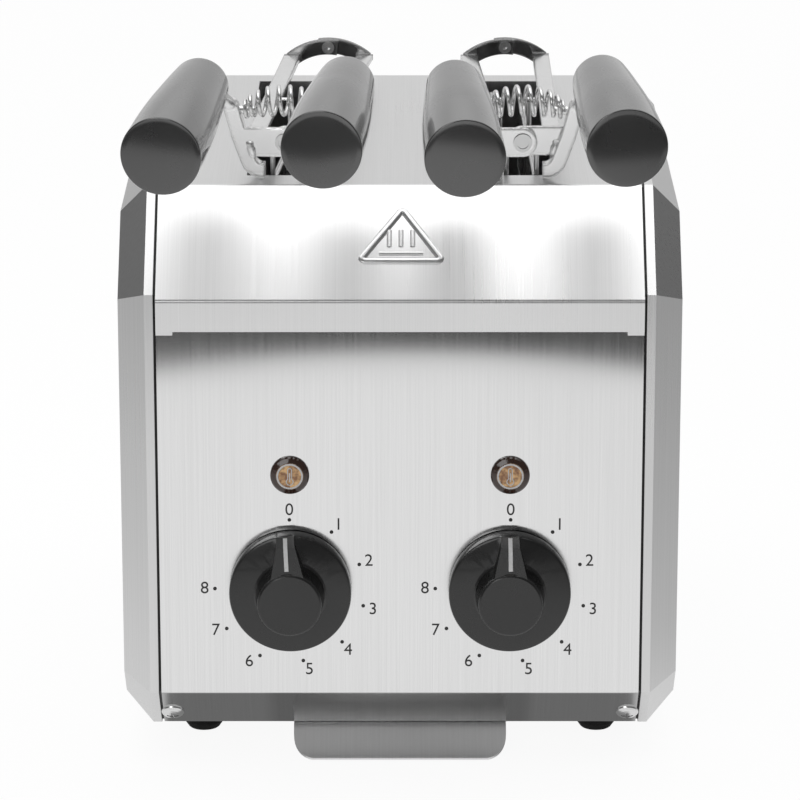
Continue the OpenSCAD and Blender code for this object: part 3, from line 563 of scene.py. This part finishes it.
def spring_tree():
    """A wire wound into a barrel along x, with closer coils at its ends and a lifted middle."""
    tree, given = node_tree("barrel_spring", {
        "Coils": "Float", "Points": "Int", "End Radius": "Float", "Middle Radius": "Float",
        "Length": "Float", "Arch": "Float", "Wire Radius": "Float"})
    line = add(tree, "GeometryNodeMeshLine", {"Count": given["Points"]})
    index = add(tree, "GeometryNodeInputIndex").outputs[0]
    last = math_node(tree, "SUBTRACT", given["Points"], 1.0)
    share = math_node(tree, "DIVIDE", index, last)
    turn = product(tree, share, given["Coils"], 2 * math.pi)
    swell = math_node(tree, "SINE", product(tree, share, math.pi))
    more = math_node(tree, "SUBTRACT", given["Middle Radius"], given["End Radius"])
    radius = math_node(tree, "ADD", given["End Radius"], product(tree, swell, more))
    along = math_node(tree, "SUBTRACT", share, 0.5)
    square = product(tree, along, along)
    pitch = math_node(tree, "MULTIPLY_ADD", square, -4 * (MIDDLE_PITCH - 1), MIDDLE_PITCH)
    up = product(tree, radius, math_node(tree, "SINE", turn))
    place = add(tree, "ShaderNodeCombineXYZ", {
        "X": product(tree, along, pitch, given["Length"]),
        "Y": product(tree, radius, math_node(tree, "COSINE", turn)),
        "Z": math_node(tree, "ADD", up, product(tree, swell, given["Arch"]))})
    bent = add(tree, "GeometryNodeSetPosition", {"Geometry": line.outputs[0], "Position": place.outputs[0]})
    path = add(tree, "GeometryNodeMeshToCurve", {"Mesh": bent.outputs[0]})
    wire = add(tree, "GeometryNodeCurvePrimitiveCircle", {"Resolution": 10, "Radius": given["Wire Radius"]})
    tube = add(tree, "GeometryNodeCurveToMesh", {
        "Curve": path.outputs[0], "Profile Curve": wire.outputs[0], "Fill Caps": True})
    tree_end(tree, tube.outputs[0])
    return tree


springs = spring_tree()
for side, tong in TONGS.items():
    mesh = grown(f"{side}_spring_wire", springs, SPRING)
    mesh.transform(tong @ Matrix.Translation((0, 0, SPRING_RISE)))
    make_piece(f"{side}_barrel_spring", mesh, f"{side}_tong", "wire", [f"{side}_tong_spring"])


# Weld beads where the tongs' strips meet

# Each seam as [first point, last point, drops, radius] in millimetres, half a in front and half b behind
SEAMS = {
    "a": [((12.7, -2.2, -5.2), (13.8, -2.2, -0.6), 5, 1.5), ((8.6, -0.3, 3.4), (14.4, -0.3, 3.4), 6, 1.1)],
    "b": [((12.2, 0.4, -5.2), (13.4, 0.4, -0.6), 5, 1.5), ((8.6, 2.6, 3.4), (14.4, 2.6, 3.4), 6, 1.1)],
}
# Drops vary between these shares of the radius
SMALLEST_DROP = (0.8, 0.7, 0.8)
LARGEST_DROP = (1.25, 1.0, 1.25)


def bead_tree():
    """A row of drops of mixed sizes, from a start to an end."""
    tree, given = node_tree("weld_bead", {
        "Start": "Vector", "End": "Vector", "Count": "Int", "Radius": "Float", "Seed": "Int"})
    line = add(tree, "GeometryNodeMeshLine", {
        "Count": given["Count"], "Start Location": given["Start"], "Offset": given["End"]}, mode="END_POINTS")
    drop = add(tree, "GeometryNodeMeshIcoSphere", {"Radius": given["Radius"], "Subdivisions": 3})
    size = add(tree, "FunctionNodeRandomValue", {
        "Seed": given["Seed"], "Min": SMALLEST_DROP, "Max": LARGEST_DROP}, data_type="FLOAT_VECTOR")
    drops = add(tree, "GeometryNodeInstanceOnPoints", {
        "Points": line.outputs[0], "Instance": drop.outputs[0], "Scale": size.outputs["Value"]})
    tree_end(tree, drops.outputs[0])
    return tree


beads = bead_tree()
for side, tong in TONGS.items():
    for half, sign in HALVES.items():
        seams = []
        for number, (first, last, count, radius) in enumerate(SEAMS[half]):
            start, end = [Vector((sign * x, y, z)) * MM for x, y, z in (first, last)]
            seams.append(grown(f"{side}_seam_{half}_{number}", beads, {
                "Start": start, "End": end, "Count": count, "Radius": radius * MM, "Seed": number}))
        mesh = joined(f"{side}_welds_{half}", seams, smooth=True)
        mesh.transform(tong)
        make_piece(f"{side}_welds_{half}", mesh, f"{side}_jaw_{half}", "tong")


# Ridges along drawn lines: the pressed triangle on the hood and the lamps' pictures

def ridge_tree():
    """An oval tube along a line, with its bends rounded."""
    tree, given = node_tree("ridge", {
        "Geometry": "Geometry", "Fillet": "Float", "Width": "Float", "Height": "Float"})
    path = add(tree, "GeometryNodeMeshToCurve", {"Mesh": given["Geometry"]})
    bends = add(tree, "GeometryNodeFilletCurve", {
        "Curve": path.outputs[0], "Radius": given["Fillet"], "Count": 5, "Limit Radius": True}, mode="POLY")
    upright = add(tree, "GeometryNodeSetCurveNormal", {"Curve": bends.outputs[0]}, mode="Z_UP")
    ring = add(tree, "GeometryNodeCurvePrimitiveCircle", {"Resolution": 12, "Radius": 1.0})
    half = product(tree, given["Width"], 0.5)
    size = add(tree, "ShaderNodeCombineXYZ", {"X": half, "Y": given["Height"], "Z": 1.0})
    oval = add(tree, "GeometryNodeTransform", {"Geometry": ring.outputs[0], "Scale": size.outputs[0]})
    tube = add(tree, "GeometryNodeCurveToMesh", {
        "Curve": upright.outputs[0], "Profile Curve": oval.outputs[0], "Fill Caps": True})
    tree_end(tree, tube.outputs[0])
    return tree


ridges = ridge_tree()


def line_mesh(points, closed):
    """A drawn line in millimetres, as a mesh of edges."""
    mesh = bpy.data.meshes.new("line")
    last = len(points) if closed else len(points) - 1
    edges = [(k, (k + 1) % len(points)) for k in range(last)]
    mesh.from_pydata([(x * MM, y * MM, 0) for x, y in points], edges, [])
    return mesh


def ridge(name, points, width, height, closed=False, fillet=0):
    """A ridge along drawn points, all in millimetres."""
    values = {"Fillet": fillet * MM, "Width": width * MM, "Height": height * MM}
    return grown(name, ridges, values, line_mesh(points, closed))


def arc(radius, start, end, count, centre=(0, 0)):
    turns = [math.radians(start + (end - start) * k / count) for k in range(count + 1)]
    return [(centre[0] + radius * math.cos(a), centre[1] + radius * math.sin(a)) for a in turns]


# The triangle, drawn in millimetres
TRIANGLE = [(-16.4, 0), (16.4, 0), (0.6, 23.4)]
TRIANGLE_BAR = [(-8.6, 3.4), (8.6, 3.4)]
RIB_X = (-4.6, 0, 4.6)
RIB_ENDS = (6.4, 13.8)
TRIANGLE_BASE = 10.9 * MM
TRIANGLE_X = 0.4 * MM
pressed = [
    ridge("triangle_rim", TRIANGLE, width=3.0, height=0.8, closed=True, fillet=1.2),
    ridge("triangle_bar", TRIANGLE_BAR, width=2.0, height=0.65)]
for x in RIB_X:
    pressed.append(ridge("triangle_rib", [(x, y) for y in RIB_ENDS], width=2.0, height=0.65))
mesh = joined("pressed_triangle", pressed, smooth=True)
on_slope = Matrix.Translation((TRIANGLE_X, PANEL_FACE + TRIANGLE_BASE, TOP - SLOPE_RUN + TRIANGLE_BASE))
mesh.transform(on_slope @ Matrix.Rotation(math.pi / 4, 4, "X"))
make_piece("pressed_triangle", mesh, "housing", "hood")

# The lamps' picture, a ring around a thermometer, drawn in millimetres
LENS_FACE = 2.4 * MM
LINE_HEIGHT = 0.05
LAMP_RING = arc(4.9, 0, 352.5, 47)
BULB_AND_STEM = arc(1.35, 125, 415, 24, (0, -2.2)) + arc(0.75, 0, 180, 8, (0, 2.6))
COLUMN = [(0, -2.2), (0, 1.4)]
for side, sign in SIDES.items():
    drawn = [
        ridge("lamp_ring", LAMP_RING, width=0.7, height=LINE_HEIGHT, closed=True),
        ridge("bulb_and_stem", BULB_AND_STEM, width=0.38, height=LINE_HEIGHT, closed=True),
        ridge("column", COLUMN, width=0.45, height=LINE_HEIGHT)]
    mesh = joined(f"{side}_lamp_picture", drawn, smooth=True)
    on_lens = Matrix.Translation((sign * LAMP.x, PANEL_FACE - LENS_FACE, LAMP.z))
    mesh.transform(on_lens @ Matrix.Rotation(math.pi / 2, 4, "X"))
    make_piece(f"{side}_lamp_picture", mesh, "housing", "white")


# White pointer lines on the knobs, in millimetres: [radius, distance from the panel] along the
# knob's ridge, and [place across, lift off the knob] over the line's section
POINTER = [(13.6, 19.85), (20.9, 13.12), (21.6, 12.05), (23.7, 8.5)]
POINTER_EDGE = [(-0.8, 0.02), (-0.8, 0.1), (0.8, 0.1), (0.8, 0.02)]
KNOB_TURN = {"left": math.radians(-4.5), "right": 0.0}


def pointer_mesh(name):
    """A thin strip that points up from the knob's axis."""
    bm = bmesh.new()
    rows = [[bm.verts.new((x * MM, -(out + lift) * MM, radius * MM)) for x, lift in POINTER_EDGE]
            for radius, out in POINTER]
    for low, high in zip(rows, rows[1:]):
        for k in range(len(POINTER_EDGE) - 1):
            bm.faces.new((low[k], low[k + 1], high[k + 1], high[k]))
    return finish_mesh(bm, name, smooth=False)


for side, turn in KNOB_TURN.items():
    axis = middle(f"{side}_dial_shaft")
    mesh = pointer_mesh(f"{side}_pointer_line")
    mesh.transform(Matrix.Translation((axis.x, PANEL_FACE, axis.z)) @ Matrix.Rotation(turn, 4, "Y"))
    make_piece(f"{side}_pointer_line", mesh, f"{side}_dial", "white")


# Dial marks: dots on an arc, and numbers outside them

DIAL_X = 43.8 * MM
DIAL_Z = 74.0 * MM
PRINT_THICK = 0.06 * MM
DOTS = {
    "Count": 9, "Step": math.radians(34), "Ring": 29.8 * MM, "Dot Radius": 0.75 * MM,
    "Thickness": 2 * PRINT_THICK}
NUMBER_RING = 33.9 * MM
# Degrees from the top to each number
NUMBER_TURNS = [0, 35, 68, 103, 137, 167, 209, 241, 272]
NUMBER_HEIGHT = 5.1 * MM
# Height of a digit as a share of the type size
DIGIT_SHARE = 0.73


def dot_tree():
    """Round dots on an arc about the origin, clockwise from the top."""
    tree, given = node_tree("dial_dots", {
        "Count": "Int", "Step": "Float", "Ring": "Float", "Dot Radius": "Float", "Thickness": "Float"})
    points = add(tree, "GeometryNodePoints", {"Count": given["Count"]})
    index = add(tree, "GeometryNodeInputIndex").outputs[0]
    turn = product(tree, index, given["Step"])
    place = add(tree, "ShaderNodeCombineXYZ", {
        "X": product(tree, given["Ring"], math_node(tree, "SINE", turn)),
        "Y": product(tree, given["Ring"], math_node(tree, "COSINE", turn))})
    ring = add(tree, "GeometryNodeSetPosition", {"Geometry": points.outputs[0], "Position": place.outputs[0]})
    dot = add(tree, "GeometryNodeMeshCylinder", {
        "Vertices": 20, "Radius": given["Dot Radius"], "Depth": given["Thickness"]})
    dots = add(tree, "GeometryNodeInstanceOnPoints", {"Points": ring.outputs[0], "Instance": dot.outputs[0]})
    tree_end(tree, dots.outputs[0], smooth=False)
    return tree


def panel_matrix(x, z):
    """A flat drawing's plane laid on the front panel, facing out."""
    return Matrix.Translation((x, PANEL_FACE - PRINT_THICK, z)) @ Matrix.Rotation(math.pi / 2, 4, "X")


def text_mesh(word, height, thickness):
    """A word in the plain default type, about the origin."""
    curve = bpy.data.curves.new("number", "FONT")
    curve.body = word
    curve.align_x = "CENTER"
    curve.align_y = "CENTER"
    curve.size = height / DIGIT_SHARE
    curve.extrude = thickness
    host = bpy.data.objects.new("number", curve)
    bpy.context.scene.collection.objects.link(host)
    mesh = bpy.data.meshes.new_from_object(host.evaluated_get(bpy.context.evaluated_depsgraph_get()))
    bpy.data.objects.remove(host)
    return mesh


dots = dot_tree()
for side, sign in SIDES.items():
    plane = panel_matrix(sign * DIAL_X, DIAL_Z)
    mesh = grown(f"{side}_dial_dots", dots, DOTS)
    mesh.transform(plane)
    make_piece(f"{side}_dial_dots", mesh, "housing", "print")
    digits = []
    for mark, degrees in enumerate(NUMBER_TURNS):
        digit = text_mesh(str(mark), NUMBER_HEIGHT, PRINT_THICK)
        turn = math.radians(degrees)
        digit.transform(Matrix.Translation((NUMBER_RING * math.sin(turn), NUMBER_RING * math.cos(turn), 0)))
        digits.append(digit)
    mesh = joined(f"{side}_dial_numbers", digits)
    mesh.transform(plane)
    make_piece(f"{side}_dial_numbers", mesh, "housing", "print")


# Stage: floor, light and camera, in metres

FLOOR_REACH = 6.0
# A painted dark gap stands for the shade beyond the table's front edge; the floor is pale again further off
TABLE_FRONT = PANEL_FACE - 0.73
TABLE_SOFT = 0.012
# The table's front edge curves back to the sides, by the square of x up to a limit
TABLE_BOW = 2.4
BOW_LIMIT = 0.03
FAR_FLOOR = PANEL_FACE - 0.88
FAR_SOFT = 0.03
TABLE_TONE = 0.86
GAP_TONE = 0.055
# The floor's painted shade, fading it to both sides and to the right, as [tone at the end, start, end]
SIDE_FADE = (0.58, 0.1, 0.75)
RIGHT_FADE = (0.75, 0.12, 0.26)
# Painted shade under the toaster: its half width and the share of the tone it keeps
SHADE_SIDE = 0.0965
SHADE_TONE = 0.25
FLOOR_TONE = 0.9
# Glow of the floor, and its share of what the camera and the reflections see
FLOOR_GLOW = 1.03
GLOW_SHARE = 0.9


def floor_finish():
    """A pale table with a painted dark gap in front of it, painted shade under the toaster and to its sides,
    all plain white to the camera.
    """
    mat, tree, shader = new_material("studio_floor", Roughness=0.9)
    place = object_place(tree)
    x, y = place["X"], place["Y"]
    aside = math_node(tree, "ABSOLUTE", x)
    bow = product(tree, math_node(tree, "MINIMUM", product(tree, x, x), BOW_LIMIT), TABLE_BOW)
    unbowed = math_node(tree, "SUBTRACT", y, bow)
    table = spread(tree, unbowed, 0, 1, TABLE_FRONT - TABLE_SOFT, TABLE_FRONT + TABLE_SOFT)
    beyond = spread(tree, y, 1, 0, FAR_FLOOR - FAR_SOFT, FAR_FLOOR + FAR_SOFT)
    pale = math_node(tree, "MAXIMUM", product(tree, table, TABLE_TONE), beyond)
    across = product(tree, spread(tree, aside, 1, *SIDE_FADE), spread(tree, x, 1, *RIGHT_FADE))
    # Painted shade on the floor under the toaster
    under = product(tree, spread(tree, aside, 1, 0, SHADE_SIDE - 2 * MM, SHADE_SIDE),
                    spread(tree, y, 0, 1, PANEL_FACE - 4 * MM, PANEL_FACE + 6 * MM))
    shade = spread(tree, under, 1, SHADE_TONE, 0, 1)
    colour = two_tone(tree, product(tree, pale, across, shade), grey(GAP_TONE), grey(1.0))
    ray = add(tree, "ShaderNodeLightPath").outputs
    to_camera = ray["Is Camera Ray"]
    tree.links.new(two_tone(tree, to_camera, colour, grey(FLOOR_TONE)), shader.inputs["Base Color"])
    mirrored = math_node(tree, "MAXIMUM", ray["Is Glossy Ray"], ray["Is Transmission Ray"])
    seen = product(tree, math_node(tree, "MAXIMUM", to_camera, mirrored), GLOW_SHARE)
    shown = two_tone(tree, to_camera, colour, grey(1.0))
    glow = add(tree, "ShaderNodeEmission", {"Color": shown, "Strength": FLOOR_GLOW})
    mix = add(tree, "ShaderNodeMixShader", {0: seen, 1: shader.outputs[0], 2: glow.outputs[0]})
    tree.links.new(mix.outputs[0], tree.nodes["Material Output"].inputs["Surface"])
    return mat


floor_bm = bmesh.new()
bmesh.ops.create_grid(floor_bm, x_segments=1, y_segments=1, size=FLOOR_REACH)
floor = bpy.data.objects.new("studio_floor", finish_mesh(floor_bm, "studio_floor", smooth=False))
floor.data.materials.append(floor_finish())
bpy.context.scene.collection.objects.link(floor)


# Strength of the room's light from each way
ROOM_FRONT = 0.15
ROOM_BACK = 0.68
ROOM_SIDE = 0.16
ROOM_ABOVE = 0.97
# Directions between which the light changes from one part of the room to the next
BACK_STEP = (-0.3, 0.3)
SIDE_STEP = (0.45, 0.8)
CEILING_STEP = (0.64, 0.82)
# How far the bright ceiling comes down at the back
CEILING_TILT = 0.35


def blend(tree, value, start, end, first, second):
    """A soft step of a value, from the first strength to the second."""
    share = add(tree, "ShaderNodeMapRange", {"Value": value, "From Min": start, "From Max": end},
                interpolation_type="SMOOTHSTEP").outputs["Result"]
    return add(tree, "ShaderNodeMix", {0: share, 2: first, 3: second}, data_type="FLOAT").outputs[0]


def studio_world():
    """A room that is bright overhead, grey behind, and dark to the sides and in front."""
    world = bpy.data.worlds.new("studio")
    bpy.context.scene.world = world
    world.use_nodes = True
    tree = world.node_tree
    back = tree.nodes["Background"]
    coord = add(tree, "ShaderNodeTexCoord")
    way = add(tree, "ShaderNodeSeparateXYZ", {"Vector": coord.outputs["Generated"]}).outputs
    side = math_node(tree, "ABSOLUTE", way["X"])
    level = blend(tree, way["Y"], *BACK_STEP, ROOM_FRONT, ROOM_BACK)
    level = blend(tree, side, *SIDE_STEP, level, ROOM_SIDE)
    above = math_node(tree, "MULTIPLY_ADD", way["Y"], CEILING_TILT, way["Z"])
    level = blend(tree, above, *CEILING_STEP, level, ROOM_ABOVE)
    shown = add(tree, "ShaderNodeLightPath").outputs["Is Camera Ray"]
    strength = add(tree, "ShaderNodeMix", {0: shown, 2: level, 3: 1.0}, data_type="FLOAT").outputs[0]
    tree.links.new(strength, back.inputs["Strength"])
    back.inputs["Color"].default_value = grey(1.0)


def softbox(name, place, aim, size, power):
    light = bpy.data.lights.new(name, "AREA")
    light.shape = "RECTANGLE"
    light.size, light.size_y = size
    light.energy = power
    obj = bpy.data.objects.new(name, light)
    obj.location = place
    obj.rotation_mode = "QUATERNION"
    obj.rotation_quaternion = (Vector(aim) - Vector(place)).to_track_quat("-Z", "Y")
    bpy.context.scene.collection.objects.link(obj)


studio_world()
softbox("overhead_softbox", place=(0, -0.1, 1.5), aim=(0, -0.05, 0.2), size=(1.4, 1.0), power=4.2)
softbox("front_softbox", place=(-0.7, -1.7, 1.0), aim=(0, 0, 0.12), size=(0.9, 0.9), power=6.0)

CAMERA_BACK = 1692.5 * MM
CAMERA_HEIGHT = 660.7 * MM
CAMERA_DIP = math.radians(16.688)
CAMERA_LENS = 202.5
SENSOR_WIDTH = 36
camera = bpy.data.objects.new("camera", bpy.data.cameras.new("camera"))
camera.data.sensor_width = SENSOR_WIDTH
camera.data.lens = CAMERA_LENS
camera.data.clip_end = 50
camera.location = (0, PANEL_FACE - CAMERA_BACK, CAMERA_HEIGHT)
camera.rotation_euler = (math.pi / 2 - CAMERA_DIP, 0, 0)
bpy.context.scene.collection.objects.link(camera)
bpy.context.scene.camera = camera
bpy.context.scene.view_settings.view_transform = "Standard"
